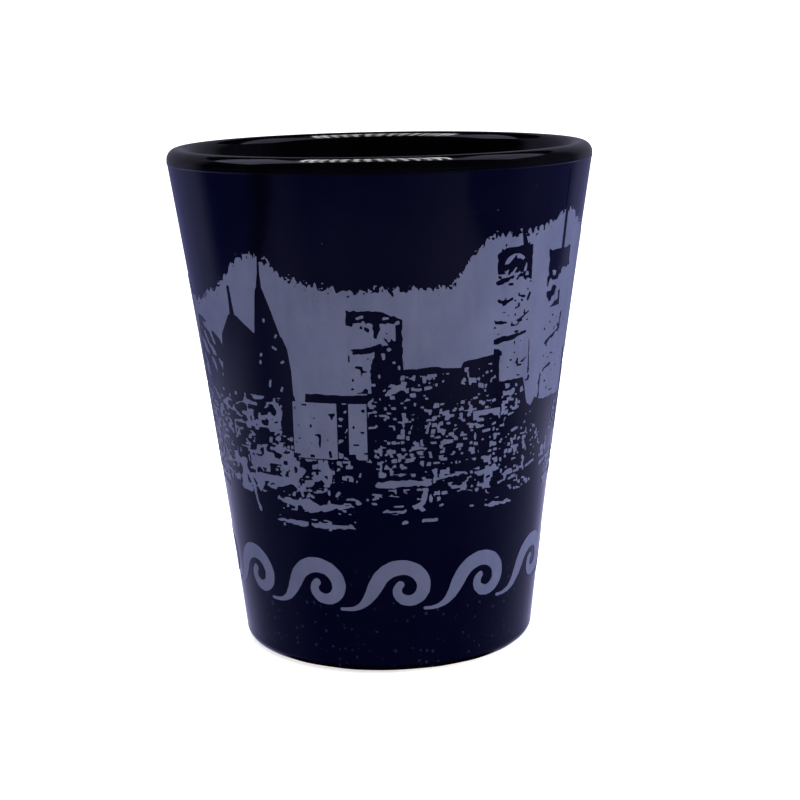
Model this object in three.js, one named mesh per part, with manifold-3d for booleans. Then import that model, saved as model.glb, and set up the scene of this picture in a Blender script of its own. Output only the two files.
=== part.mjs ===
// A souvenir shot glass: a tapered stoneware cup with a black liner glaze, a cobalt outer glaze and a
// single-colour silver-grey fired-on print of a city skyline over a frieze of waves.
// Millimetres, +Z up. The origin is the centre of the foot ring's underside, and the front faces -Y.
// Angles round the cup are in degrees from the front, positive towards +X.

import * as THREE from "three";
import { mergeVertices } from "three/addons/utils/BufferGeometryUtils.js";
import Module from "manifold-3d";

const wasm = await Module();
wasm.setup();

// Driving dimensions of the cup
const HEIGHT = 60;
const WALL_FOOT_RADIUS = 17.57; // where the tapered outer wall meets the table plane
const WALL_TOP_RADIUS = 25.42; // where it meets the plane of the rim
const FLARE = 0.3; // how far the wall curves in at mid-height
const LIP_ROUND = 1.3; // the lip is a half-round bead of this radius
const LIP_LINE = 58.2; // height where the black liner glaze ends and the cobalt glaze begins
const WALL_AT_FLOOR = 3.6; // radial thickness of the wall at the foot
const FLOOR = 6; // inside depth stops here
const FLOOR_ROUND = 6; // round between the inner wall and the floor
const GLAZE = 0.35; // thickness of each glaze coat

// The foot
const FOOT_ROUND = 1.3; // round between the outer wall and the foot
const GLAZE_END = -50; // angle on that round where the outer glaze was wiped off
const FOOT_OUTER_TOE = 0.35; // the bare ring's edge, outside the centre of the foot round
const FOOT_INNER_RADIUS = 12.6;
const WELL_RADIUS = 12;
const WELL_DEPTH = 1.4;
const WELL_GLAZE_RADIUS = 11.6;
const WELL_GLAZE = 0.3;

// The print
const FILM = 0.12; // thickness of the fired-on print
const FILM_GAP = 0.02; // room for rounding between the glaze and the print
const PRINT_LOW = 5;
const PRINT_HIGH = 57.5;
const CITY_LINE = 33; // the sky comes down to this height between the towers
const STENCIL_INNER = 12; // the stencils that cut the print run between these radii
const STENCIL_OUTER = 32;

// One wave crest of the frieze, upright about x = 0: a tail that sweeps up into a tightening curl
const CREST_COUNT = 12;
const TAIL_TIP = new THREE.Vector2(-5.4, 8);
const CURL_POLE = new THREE.Vector2(2.05, 10.5);
const CURL_REACH = 3.45; // how far from the pole the curl starts
const CURL_START = 165; // and at what angle
const CURL_TURN = 385;
const CURL_TIGHTEN = 0.2; // share of its reach that the curl loses in each radian
const CREST_WIDEST = 2;
const TAIL_TIP_WIDTH = 0.4;
const CURL_END_WIDTH = 0.9;

// Facets
const SEGMENTS = 48;
const WALL_STEPS = 4;
const SKY_SEGMENTS = 96;
const TAIL_STEPS = 4;
const CURL_STEPS = 11;

const rad = THREE.MathUtils.degToRad;

// ---- Profiles, as points of radius and height ----

function outerRadius(z) {
  const t = z / HEIGHT;
  return THREE.MathUtils.lerp(WALL_FOOT_RADIUS, WALL_TOP_RADIUS, t) - 4 * FLARE * t * (1 - t);
}

// The lip's round starts and ends where it touches the leaning wall.
const TOP_LEAN = Math.atan((WALL_TOP_RADIUS - WALL_FOOT_RADIUS + 4 * FLARE) / HEIGHT);
const LIP_START = HEIGHT - LIP_ROUND * (1 + Math.sin(TOP_LEAN));
const LIP_CENTRE = new THREE.Vector2(
  outerRadius(LIP_START) - LIP_ROUND * Math.cos(TOP_LEAN),
  HEIGHT - LIP_ROUND,
);
const WALL_AT_LIP = (2 * LIP_ROUND) / Math.cos(TOP_LEAN);

function innerRadius(z) {
  return outerRadius(z) - THREE.MathUtils.lerp(WALL_AT_FLOOR, WALL_AT_LIP, z / HEIGHT);
}

function arc(centre, radius, fromDegrees, toDegrees, steps) {
  const points = [];
  for (let i = 0; i <= steps; i++) {
    const angle = rad(THREE.MathUtils.lerp(fromDegrees, toDegrees, i / steps));
    points.push(
      new THREE.Vector2(centre.x + radius * Math.cos(angle), centre.y + radius * Math.sin(angle)),
    );
  }
  return points;
}

const FOOT_CENTRE = new THREE.Vector2(outerRadius(FOOT_ROUND) - FOOT_ROUND, FOOT_ROUND);
const WALL_HEIGHTS = Array.from({ length: WALL_STEPS + 1 }, (_, i) =>
  THREE.MathUtils.lerp(FOOT_ROUND, LIP_LINE, i / WALL_STEPS),
);

// The outside from the foot up to the lip line, moved out of the clay by offset.
function outsideLine(offset) {
  const foot = arc(FOOT_CENTRE, FOOT_ROUND + offset, GLAZE_END, 0, 3);
  const wall = WALL_HEIGHTS.slice(1).map((z) => new THREE.Vector2(outerRadius(z) + offset, z));
  return [...foot, ...wall];
}

// From the lip line over the lip, down the inside and in to the axis, moved out of the clay by offset.
function insideLine(offset) {
  const lean = THREE.MathUtils.radToDeg(TOP_LEAN);
  const lip = [
    ...arc(LIP_CENTRE, LIP_ROUND + offset, -lean, 90, 3),
    ...arc(LIP_CENTRE, LIP_ROUND + offset, 90, 180 - lean, 3).slice(1),
  ];
  const low = FLOOR + FLOOR_ROUND;
  const middle = (low + LIP_CENTRE.y) / 2;
  const wall = new THREE.Vector2(innerRadius(middle) - offset, middle);
  const centre = new THREE.Vector2(innerRadius(low) - FLOOR_ROUND, low);
  const floor = arc(centre, FLOOR_ROUND - offset, 0, -90, 4);
  const edge = new THREE.Vector2(outerRadius(LIP_LINE) + offset, LIP_LINE);
  return [edge, ...lip, wall, ...floor, new THREE.Vector2(0, FLOOR + offset)];
}

// ---- Solids ----

function lathe(points, segments = SEGMENTS) {
  return new THREE.LatheGeometry(points, segments).rotateX(Math.PI / 2);
}

// A geometry as a manifold-3d solid.
function solid(geometry) {
  const bare = (geometry.index ? geometry.toNonIndexed() : geometry.clone())
    .deleteAttribute("normal")
    .deleteAttribute("uv");
  const merged = mergeVertices(bare, 1e-4);
  return new wasm.Manifold(
    new wasm.Mesh({
      numProp: 3,
      vertProperties: merged.attributes.position.array,
      triVerts: new Uint32Array(merged.index.array),
    }),
  );
}

function geometryOf(manifold) {
  const mesh = manifold.getMesh();
  const geometry = new THREE.BufferGeometry()
    .setAttribute("position", new THREE.BufferAttribute(mesh.vertProperties, 3))
    .setIndex(new THREE.BufferAttribute(mesh.triVerts, 1))
    .toNonIndexed();
  geometry.computeVertexNormals();
  return geometry;
}

// The clay: a cup whose bare foot ring stands a little below the glaze.
function bodyGeometry() {
  const toe = FOOT_CENTRE.x + FOOT_OUTER_TOE;
  return lathe([
    new THREE.Vector2(0, WELL_DEPTH),
    new THREE.Vector2(WELL_RADIUS, WELL_DEPTH),
    new THREE.Vector2(FOOT_INNER_RADIUS, 0),
    new THREE.Vector2(toe, 0),
    ...outsideLine(-GLAZE),
    ...insideLine(-GLAZE).slice(1),
  ]);
}

function outerGlazeGeometry() {
  return lathe([...outsideLine(0), ...outsideLine(-GLAZE).reverse(), outsideLine(0)[0]]);
}

// The liner's coat starts and ends on the axis, so its profile isn't closed on itself.
function linerGeometry() {
  return lathe([...insideLine(-GLAZE).reverse(), ...insideLine(0)]);
}

function wellGlazeGeometry() {
  const low = WELL_DEPTH - WELL_GLAZE;
  return lathe([
    new THREE.Vector2(0, low),
    new THREE.Vector2(WELL_GLAZE_RADIUS, low),
    new THREE.Vector2(WELL_GLAZE_RADIUS, WELL_DEPTH),
    new THREE.Vector2(0, WELL_DEPTH),
  ]);
}

// ---- The print: a thin sleeve round the outer wall, cut by stencils ----

function sleeve() {
  const heights = [PRINT_LOW, ...WALL_HEIGHTS.filter((z) => z > PRINT_LOW && z < PRINT_HIGH), PRINT_HIGH];
  // Between two of the wall's own heights its surface is straight, and the sleeve keeps to it.
  const wallAt = (z) => {
    const above = WALL_HEIGHTS.findIndex((h) => h >= z);
    const [low, high] = [WALL_HEIGHTS[above - 1], WALL_HEIGHTS[above]];
    return THREE.MathUtils.mapLinear(z, low, high, outerRadius(low), outerRadius(high));
  };
  const side = (offset) => heights.map((z) => new THREE.Vector2(wallAt(z) + offset, z));
  const outside = side(FILM_GAP + FILM);
  return solid(lathe([...outside, ...side(FILM_GAP).reverse(), outside[0]]));
}

const SLEEVE = sleeve();

// An outline drawn upright, as seen from outside, becomes a stencil that points out at an angle.
function stencil(shape, angle, curveSegments = 6) {
  const depth = STENCIL_OUTER - STENCIL_INNER;
  const geometry = new THREE.ExtrudeGeometry(shape, { depth, curveSegments, bevelEnabled: false });
  geometry.translate(0, 0, STENCIL_INNER).rotateX(Math.PI / 2).rotateZ(rad(angle));
  return solid(geometry);
}

// A ring of stencil whose edge follows heightAt(angle), open upwards or downwards.
function ringStencil(heightAt, farHeight) {
  const edge = (CITY_LINE + HEIGHT) / 2;
  const [low, high] = farHeight > edge ? [edge, farHeight] : [farHeight, edge];
  const corners = [
    new THREE.Vector2(STENCIL_INNER, low),
    new THREE.Vector2(STENCIL_OUTER, low),
    new THREE.Vector2(STENCIL_OUTER, high),
    new THREE.Vector2(STENCIL_INNER, high),
  ];
  const geometry = lathe([...corners, corners[0]], SKY_SEGMENTS);
  const position = geometry.attributes.position;
  for (let i = 0; i < position.count; i++) {
    if (Math.abs(position.getZ(i) - edge) < 1e-3) {
      const angle = THREE.MathUtils.radToDeg(Math.atan2(position.getX(i), -position.getY(i)));
      position.setZ(i, heightAt(angle));
    }
  }
  return solid(geometry);
}

// The upper edge of the sky: angle and height of each crest and dip, joined by smooth slopes.
const SKY_EDGE = [
  [-168, 47.5],
  [-140, 50.5],
  [-112, 46.5],
  [-88, 49],
  [-67, 43.7],
  [-40, 49.5],
  [-9, 45.6],
  [17, 45.6],
  [31, 51.2],
  [45, 51.4],
  [61, 54.2],
  [84, 49],
  [108, 46.5],
  [134, 51.5],
  [160, 49.5],
];

function skyHeight(angle) {
  const turn = (a) => THREE.MathUtils.euclideanModulo(a, 360);
  const last = SKY_EDGE.length - 1;
  let i = SKY_EDGE.findIndex(([a]) => a > angle) - 1;
  if (i < 0) i = angle < SKY_EDGE[0][0] || angle >= SKY_EDGE[last][0] ? last : 0;
  const [from, to] = [SKY_EDGE[i], SKY_EDGE[(i + 1) % SKY_EDGE.length]];
  const share = turn(angle - from[0]) / turn(to[0] - from[0]);
  return THREE.MathUtils.lerp(from[1], to[1], THREE.MathUtils.smoothstep(share, 0, 1));
}

// Towers that stand dark against the sky: angle, width, height of the roof, its kind, and the height
// that its mast or spire reaches.
const TOWERS = [
  [-77, 4.6, 38.5, "flat"],
  [-65.5, 3.2, 38.6, "gable"],
  [-49, 7.4, 37.8, "gable", 45.6],
  [-33, 4.4, 38.5, "spire", 48],
  [-2.4, 6, 42.2, "slant"],
  [14, 6.8, 36.4, "flat"],
  [28.6, 4.2, 37.3, "stepped"],
  [39, 5, 48.8, "crown", 50.8],
  [59.5, 5.2, 47.8, "crown", 55.5],
  [78, 4.6, 36, "flat"],
  [92, 6.4, 41, "stepped"],
  [107, 4, 36.5, "gable"],
  [121, 5, 44, "stepped", 49.5],
  [138, 6.4, 37, "flat"],
  [152, 4.4, 41, "slant"],
  [168, 6.6, 38.4, "stepped"],
  [184, 4.2, 38.5, "spire", 46.5],
  [199, 6.6, 37.5, "slant"],
  [214, 4.8, 43, "flat", 47.5],
  [229, 6, 37.6, "gable", 42.5],
  [244, 4.2, 43.5, "stepped"],
  [258, 6.2, 37.2, "flat"],
  [271, 4, 38.4, "gable"],
];
const MAST = 0.5; // width of a mast
const CROWN_DROP = 4.4; // a crowned tower is dark only this far below its roof

// Dark belts across the lit fronts of the crowned towers: angle, width, height
const BELTS = [
  [39, 4.2, 40.6],
  [39.6, 3.4, 35.8],
  [59.8, 4, 42],
  [59.2, 3, 37.4],
];
const BELT_HEIGHT = 0.6;

// Lit fronts printed on the dark city: name, angle, width, lowest and highest height
const FRONTS = [
  ["print_hall_front", -21.9, 5.2, 26.2, 32.8],
  ["print_arcade_front", -8.3, 2, 26.2, 32.8],
  ["print_block_tower_front", -6.9, 2.4, 34, 40.4],
  ["print_market_front", 32.6, 3.7, 29.9, 31.2],
  ["print_quay_front", 84, 3.6, 25.2, 30.4],
  ["print_terrace_front", -88, 4.4, 25.8, 30],
  ["print_stepped_tower_front", 93.6, 1.8, 33.6, 38.4],
  ["print_mill_front", 112, 4.2, 25.8, 30.8],
  ["print_mast_tower_front", 122.6, 1.5, 33.6, 41.6],
  ["print_depot_front", 160, 5, 25.4, 29.6],
  ["print_exchange_front", 198, 3.2, 26.4, 32],
  ["print_store_front", 231, 4.6, 25.8, 30.2],
  ["print_corner_tower_front", 245.2, 1.5, 33.6, 41],
];

// The longest mast goes on above the sky as a line of black: angle, width, lowest and highest height
const MAST_LINE = [59.5, 0.5, 54.8, 57.3];

// Reflections on the water below the city: angle, length, height and depth
const STREAKS = [
  [-24.6, 9.8, 20.6, 1.3],
  [-25, 10, 18.1, 0.5],
  [5.5, 6.4, 23.4, 1.2],
  [2.7, 3, 20, 0.5],
  [40.2, 4.2, 19.6, 0.5],
  [78, 7.4, 20.4, 0.9],
  [104, 8.6, 19.6, 1],
  [146, 8, 21, 0.8],
  [187, 9, 19.2, 1.1],
  [222, 7, 21.2, 0.7],
  [262, 8.4, 19.8, 1],
];

// A tower's outline, upright about x = 0, from below the city line to its roof and mast.
function towerShape(width, roof, kind, mastTop) {
  const half = width / 2;
  const mast = MAST / 2;
  const bottom = kind === "crown" ? roof - CROWN_DROP : CITY_LINE - 1;
  const left = [[-half, bottom]];
  if (kind === "gable") left.push([-half, roof], [-mast, roof + half]);
  else if (kind === "spire") left.push([-half, roof], [-half * 0.62, roof], [-half * 0.3, roof + half * 2.4]);
  else if (kind === "stepped") {
    left.push([-half, roof - half], [-half * 0.66, roof - half], [-half * 0.66, roof], [-mast, roof]);
  } else left.push([-half, roof], [-mast, roof]);
  if (mastTop) left.push([-mast, left[left.length - 1][1] + 0.3], [-mast * 0.4, mastTop]);
  const right = left.map(([x, z]) => [-x, z]).reverse();
  if (kind === "slant") right.forEach((p, i) => (p[1] += i === 0 ? 1.2 : 0));
  return new THREE.Shape([...left, ...right].map(([x, z]) => new THREE.Vector2(x, z)));
}


function skyGeometry() {
  let sky = SLEEVE.subtract(ringStencil(skyHeight, HEIGHT + 10));
  sky = sky.subtract(ringStencil(() => CITY_LINE, -10));
  for (const [angle, width, roof, kind, mastTop] of TOWERS) {
    sky = sky.subtract(stencil(towerShape(width, roof, kind, mastTop), angle));
  }
  for (const [angle, width, z] of BELTS) {
    sky = sky.subtract(stencil(boxShape(width, z - BELT_HEIGHT / 2, z + BELT_HEIGHT / 2), angle));
  }
  return geometryOf(sky);
}

function boxShape(width, low, high) {
  return new THREE.Shape([
    new THREE.Vector2(-width / 2, low),
    new THREE.Vector2(width / 2, low),
    new THREE.Vector2(width / 2, high),
    new THREE.Vector2(-width / 2, high),
  ]);
}

// A streak of light: a long lozenge with its belly below its middle.
function streakShape(length, z, depth) {
  const half = length / 2;
  return new THREE.Shape([
    new THREE.Vector2(-half, z),
    new THREE.Vector2(-half * 0.3, z - depth / 2),
    new THREE.Vector2(half * 0.4, z - depth / 2),
    new THREE.Vector2(half, z),
    new THREE.Vector2(half * 0.5, z + depth / 2),
    new THREE.Vector2(-half * 0.5, z + depth / 2),
  ]);
}

// The middle line of a crest's curl, a logarithmic spiral that turns clockwise round its pole.
function curlPoint(share) {
  const turned = rad(CURL_TURN) * share;
  const angle = rad(CURL_START) - turned;
  const reach = CURL_REACH * Math.exp(-CURL_TIGHTEN * turned);
  return new THREE.Vector2(Math.cos(angle), Math.sin(angle)).multiplyScalar(reach).add(CURL_POLE);
}

// The middle line of a whole crest. The tail leaves its tip level and meets the curl along its tangent.
function crestLine() {
  const start = curlPoint(0);
  const heading = rad(CURL_START - 90) - Math.atan(CURL_TIGHTEN);
  const pull = new THREE.Vector2(Math.cos(heading), Math.sin(heading)).multiplyScalar(-2.3);
  const level = new THREE.Vector2(2.6, -0.2);
  const tail = new THREE.CubicBezierCurve(
    TAIL_TIP,
    TAIL_TIP.clone().add(level),
    start.clone().add(pull),
    start,
  );
  const curl = Array.from({ length: CURL_STEPS }, (_, i) => curlPoint((i + 1) / CURL_STEPS));
  return [...tail.getPoints(TAIL_STEPS), ...curl];
}

function crestShape() {
  const line = crestLine();
  const last = line.length - 1;
  const above = [];
  const below = [];
  line.forEach((point, i) => {
    const ahead = line[Math.min(i + 1, last)];
    const behind = line[Math.max(i - 1, 0)];
    const across = ahead.clone().sub(behind).normalize().rotateAround(new THREE.Vector2(), Math.PI / 2);
    const swell = THREE.MathUtils.smoothstep(i, 0, TAIL_STEPS + 1);
    const fade = Math.max(0, (i - TAIL_STEPS) / CURL_STEPS);
    const tailWidth = THREE.MathUtils.lerp(TAIL_TIP_WIDTH, CREST_WIDEST, swell);
    const width = THREE.MathUtils.lerp(tailWidth, CURL_END_WIDTH, fade);
    above.push(point.clone().addScaledVector(across, width / 2));
    below.push(point.clone().addScaledVector(across, -width / 2));
  });
  return new THREE.Shape([...below, ...above.reverse()]);
}

function printed(shape, angle) {
  return geometryOf(SLEEVE.intersect(stencil(shape, angle)));
}

// ---- Materials ----

const stoneware = new THREE.MeshStandardMaterial({ color: 0xcdc4b4, roughness: 0.8, metalness: 0 });
const blackGlaze = new THREE.MeshStandardMaterial({ color: 0x060508, roughness: 0.12, metalness: 0 });
const cobaltGlaze = new THREE.MeshStandardMaterial({ color: 0x0a0b24, roughness: 0.15, metalness: 0 });
const silverPrint = new THREE.MeshStandardMaterial({ color: 0x5e6286, roughness: 0.45, metalness: 0 });

// ---- The part ----

const part = new THREE.Group();

function add(name, geometry, material) {
  const mesh = new THREE.Mesh(geometry, material);
  mesh.name = name;
  part.add(mesh);
}

add("ceramic_body", bodyGeometry(), stoneware);
add("liner_glaze", linerGeometry(), blackGlaze);
add("outer_glaze", outerGlazeGeometry(), cobaltGlaze);
add("foot_well_glaze", wellGlazeGeometry(), cobaltGlaze);
add("sky_print", skyGeometry(), silverPrint);
for (const [name, angle, width, low, high] of FRONTS) {
  add(name, printed(boxShape(width, low, high), angle), silverPrint);
}
const [mastAngle, ...mastBox] = MAST_LINE;
add("print_mast_line", printed(boxShape(...mastBox), mastAngle), blackGlaze);
STREAKS.forEach(([angle, length, z, depth], i) => {
  const name = `water_streak_${String(i + 1).padStart(2, "0")}`;
  add(name, printed(streakShape(length, z, depth), angle), silverPrint);
});
for (let i = 0; i < CREST_COUNT; i++) {
  const name = `wave_crest_${String(i + 1).padStart(2, "0")}`;
  add(name, printed(crestShape(), (360 / CREST_COUNT) * i), silverPrint);
}

export default part;
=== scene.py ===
"""A souvenir shot glass: the looks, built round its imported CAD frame.

A tapered stoneware cup with a black liner glaze, a cobalt outer glaze and a silver-grey print of a city
skyline over a frieze of waves. Shapes are worked out in millimetres and written in metres.
Angles round the cup are measured from the front, -Y, positive towards +X.
"""

import math
from functools import reduce

import bpy
import numpy as np
from mathutils import Matrix, Vector
from mathutils.geometry import delaunay_2d_cdt


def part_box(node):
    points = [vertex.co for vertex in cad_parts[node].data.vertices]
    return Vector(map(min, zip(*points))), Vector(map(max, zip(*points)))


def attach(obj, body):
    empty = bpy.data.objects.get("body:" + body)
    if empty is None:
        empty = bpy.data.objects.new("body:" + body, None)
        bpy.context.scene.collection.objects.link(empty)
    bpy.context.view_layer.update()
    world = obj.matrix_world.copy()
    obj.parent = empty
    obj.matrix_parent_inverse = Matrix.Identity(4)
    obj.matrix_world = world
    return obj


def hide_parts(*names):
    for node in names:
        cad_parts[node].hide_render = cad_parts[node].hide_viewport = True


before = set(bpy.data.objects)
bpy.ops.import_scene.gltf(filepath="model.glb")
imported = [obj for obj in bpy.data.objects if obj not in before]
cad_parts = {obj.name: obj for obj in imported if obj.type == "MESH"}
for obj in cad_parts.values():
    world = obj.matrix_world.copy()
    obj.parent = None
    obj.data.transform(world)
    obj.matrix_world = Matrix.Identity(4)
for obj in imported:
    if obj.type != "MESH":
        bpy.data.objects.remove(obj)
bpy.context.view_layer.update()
scene = bpy.context.scene

MM = 0.001

# ---- The cup's dimensions, in millimetres, the same as the CAD model's ----

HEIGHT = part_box("liner_glaze")[1][2] / MM
WALL_FOOT_RADIUS = 17.57
WALL_TOP_RADIUS = 25.42
FLARE = 0.3
LIP_ROUND = 1.3
LIP_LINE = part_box("outer_glaze")[1][2] / MM
WALL_AT_FLOOR = 3.6
FLOOR = 6.0
FLOOR_ROUND = 6.0
GLAZE = 0.35
FOOT_ROUND = 1.3
GLAZE_END = -50.0  # the angle, on the foot's round, where the cobalt coat stops
FOOT_OUTER_TOE = 0.35
FOOT_INNER_RADIUS = 12.6
WELL_RADIUS = 12.0
WELL_DEPTH = 1.4
WELL_GLAZE_RADIUS = 11.6
WELL_GLAZE = 0.3

CUP_SEGMENTS = 256

TOP_LEAN = math.degrees(math.atan((WALL_TOP_RADIUS - WALL_FOOT_RADIUS + 4 * FLARE) / HEIGHT))
WALL_AT_LIP = 2 * LIP_ROUND / math.cos(math.radians(TOP_LEAN))


def outer_radius(z):
    t = z / HEIGHT
    return WALL_FOOT_RADIUS + (WALL_TOP_RADIUS - WALL_FOOT_RADIUS) * t - 4 * FLARE * t * (1 - t)


def inner_radius(z):
    return outer_radius(z) - WALL_AT_FLOOR - (WALL_AT_LIP - WALL_AT_FLOOR) * z / HEIGHT


LIP_START = HEIGHT - LIP_ROUND * (1 + math.sin(math.radians(TOP_LEAN)))
LIP_CENTRE = (
    outer_radius(LIP_START) - LIP_ROUND * math.cos(math.radians(TOP_LEAN)),
    HEIGHT - LIP_ROUND,
)
FOOT_CENTRE = (outer_radius(FOOT_ROUND) - FOOT_ROUND, FOOT_ROUND)


def arc(centre, radius, start, end, steps):
    """Points of radius and height on an arc, its ends included. Angles in degrees."""
    angles = np.radians(np.linspace(start, end, steps + 1))
    return [(centre[0] + radius * math.cos(a), centre[1] + radius * math.sin(a)) for a in angles]


# ---- Camera ----

CAMERA_DISTANCE = 214.0
CAMERA_HEIGHT = 73.2
CAMERA_PITCH = 11.74
CAMERA_YAW = 0.5
CAMERA_ROLL = 1.11
CAMERA_LENS = 80.3


def make_camera():
    data = bpy.data.cameras.new("camera")
    data.lens = CAMERA_LENS
    data.sensor_width = 36.0
    data.clip_start = 0.01
    camera = bpy.data.objects.new("camera", data)
    scene.collection.objects.link(camera)
    turn = (
        Matrix.Rotation(math.radians(-CAMERA_YAW), 4, "Z")
        @ Matrix.Rotation(math.radians(90 - CAMERA_PITCH), 4, "X")
        @ Matrix.Rotation(math.radians(-CAMERA_ROLL), 4, "Z")
    )
    place = Matrix.Translation((0, -CAMERA_DISTANCE * MM, CAMERA_HEIGHT * MM))
    camera.matrix_world = place @ turn
    scene.camera = camera


make_camera()

# ---- Meshes ----


def new_object(name, vertices, faces, sharp_angle=None):
    """A smooth-shaded object from vertices in millimetres, with sharp edges above an angle in degrees."""
    mesh = bpy.data.meshes.new(name)
    mesh.from_pydata((np.asarray(vertices) * MM).tolist(), [], faces)
    mesh.validate()
    mesh.shade_smooth()
    if sharp_angle:
        mesh.set_sharp_from_angle(angle=math.radians(sharp_angle))
    piece = bpy.data.objects.new(name, mesh)
    scene.collection.objects.link(piece)
    return piece


def lathe(name, profile, warp=None, sharp_angle=None):
    """Turns a profile, anticlockwise in radius and height, round the cup's axis.

    A profile that starts and ends on the axis gets a vertex at each pole, and any other is closed on itself.
    warp(angle, radius, z) moves its points.
    """
    angles = np.linspace(0, 2 * math.pi, CUP_SEGMENTS, endpoint=False)
    vertices, rings = [], []
    for radius, z in profile:
        first = len(vertices)
        if radius == 0:
            vertices.append((0.0, 0.0, z))
            rings.append([first] * CUP_SEGMENTS)
            continue
        r, h = warp(angles, radius, z) if warp else (radius, z)
        r, h = np.broadcast_to(r, angles.shape), np.broadcast_to(h, angles.shape)
        vertices.extend(zip(r * np.sin(angles), -r * np.cos(angles), h))
        rings.append(list(range(first, first + CUP_SEGMENTS)))
    if profile[0][0] > 0:
        rings.append(rings[0])
    faces = []
    for low, high in zip(rings, rings[1:]):
        for i in range(CUP_SEGMENTS):
            j = (i + 1) % CUP_SEGMENTS
            corners = [low[i], low[j], high[j], high[i]]
            faces.append([v for k, v in enumerate(corners) if v != corners[k - 1]])
    return new_object(name, vertices, faces, sharp_angle)


# ---- The cup: clay and glazes ----


def wave(angle, terms, seed):
    """A random closed wave round the cup, between about -1 and 1."""
    rng = np.random.default_rng(seed)
    total = sum(
        rng.uniform(0.4, 1) * np.sin(k * angle + rng.uniform(0, 2 * math.pi)) / math.sqrt(k) for k in terms
    )
    return total / len(terms) ** 0.5


def cast_wobble(angle, z):
    """How far the clay strays from a true circle."""
    return 0.025 * wave(angle, (2, 3, 5), 11) + 0.008 * wave(angle, (4, 7, 9), 12) * math.sin(z / 6)


def cup_warp(angle, radius, z):
    return radius + cast_wobble(angle, z) * radius / WALL_TOP_RADIUS, z


def outer_wall(offset, low, high, steps):
    return [(outer_radius(z) + offset, z) for z in np.linspace(low, high, steps + 1)]


def inner_wall(offset, high, low, steps):
    return [(inner_radius(z) - offset, z) for z in np.linspace(high, low, steps + 1)]


def inside_line(offset):
    """From the lip's outer side over the lip, down the inside and in to the axis."""
    lip = arc(LIP_CENTRE, LIP_ROUND + offset, -TOP_LEAN, 180 - TOP_LEAN, 28)
    low = FLOOR + FLOOR_ROUND
    wall = inner_wall(offset, LIP_CENTRE[1] - 1.5, low + 0.5, 24)
    centre = (inner_radius(low) - FLOOR_ROUND, low)
    floor = arc(centre, FLOOR_ROUND - offset, 0, -90, 20)
    flat = [(centre[0] * share, FLOOR + offset) for share in (0.75, 0.5, 0.25)]
    return [*lip, *wall, *floor, *flat, (0, FLOOR + offset)]


def make_clay():
    toe = FOOT_CENTRE[0] + FOOT_OUTER_TOE
    ease = 0.25
    ring = [
        (0, WELL_DEPTH),
        *((r, WELL_DEPTH) for r in np.linspace(3, WELL_RADIUS - 0.2, 5)),
        (WELL_RADIUS, WELL_DEPTH - 0.1),
        (FOOT_INNER_RADIUS - ease, 0.22),
        (FOOT_INNER_RADIUS, 0.06),
        (FOOT_INNER_RADIUS + ease, 0),
        *((r, 0) for r in np.linspace(FOOT_INNER_RADIUS + 1, toe - 1, 4)),
        (toe - 0.35, 0),
        (toe - 0.1, 0.04),
        (toe, 0.12),
    ]
    shoulder = arc(FOOT_CENTRE, FOOT_ROUND - GLAZE, -55, 0, 8)
    wall = outer_wall(-GLAZE, FOOT_ROUND + 1, LIP_LINE, 30)
    return lathe("clay_cup", [*ring, *shoulder, *wall, *inside_line(-GLAZE)], cup_warp, sharp_angle=35)


def make_outer_glaze():
    """The cobalt coat. Its lower end is a rounded roll whose edge wanders, as it does where it was wiped."""
    end = math.radians(GLAZE_END)
    half = GLAZE / 2
    roll = FOOT_ROUND - half
    roll_centre = (FOOT_CENTRE[0] + roll * math.cos(end), FOOT_CENTRE[1] + roll * math.sin(end))
    outside = [
        *arc(roll_centre, half * 1.15, GLAZE_END - 150, GLAZE_END, 8),
        *arc(FOOT_CENTRE, FOOT_ROUND, GLAZE_END + 5, 0, 10),
        *outer_wall(0, FOOT_ROUND + 1, LIP_LINE, 56),
    ]
    inside = [
        *arc(FOOT_CENTRE, FOOT_ROUND - GLAZE, GLAZE_END + 5, 0, 6),
        *outer_wall(-GLAZE, FOOT_ROUND + 1, LIP_LINE, 20),
    ]

    def warp(angle, radius, z):
        r, h = cup_warp(angle, radius, z)
        low = max(0.0, 1 - z / 1.4)
        return r, h + low * 0.13 * wave(angle, (3, 5, 8, 13, 21), 21)

    return lathe("cobalt_coat", [*outside, *inside[::-1]], warp, sharp_angle=50)


def make_liner():
    """The black coat. Outside, it ends in a thick edge that lies over the cobalt coat and wanders."""
    lean = math.radians(TOP_LEAN)
    edge = 0.045
    outside = [
        (outer_radius(LIP_LINE) - 0.02, LIP_LINE - 0.02),
        (outer_radius(LIP_LINE) + edge * 0.7, LIP_LINE + 0.02),
        (outer_radius(LIP_LINE + 0.1) + edge, LIP_LINE + 0.1),
        (outer_radius(LIP_LINE + 0.25) + edge * 0.8, LIP_LINE + 0.2),
    ]
    outer = [*outside, *inside_line(0)]
    inner = [(outer_radius(LIP_LINE) - GLAZE, LIP_LINE), *inside_line(-GLAZE)]

    def warp(angle, radius, z):
        r, h = cup_warp(angle, radius, z)
        near = max(0.0, 1 - abs(z - LIP_LINE) / 0.5) if radius > LIP_CENTRE[0] else 0.0
        return r, h + near * 0.05 * wave(angle, (2, 3, 7, 12), 31)

    return lathe("black_coat", [*inner[::-1], *outer], warp, sharp_angle=50)


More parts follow.
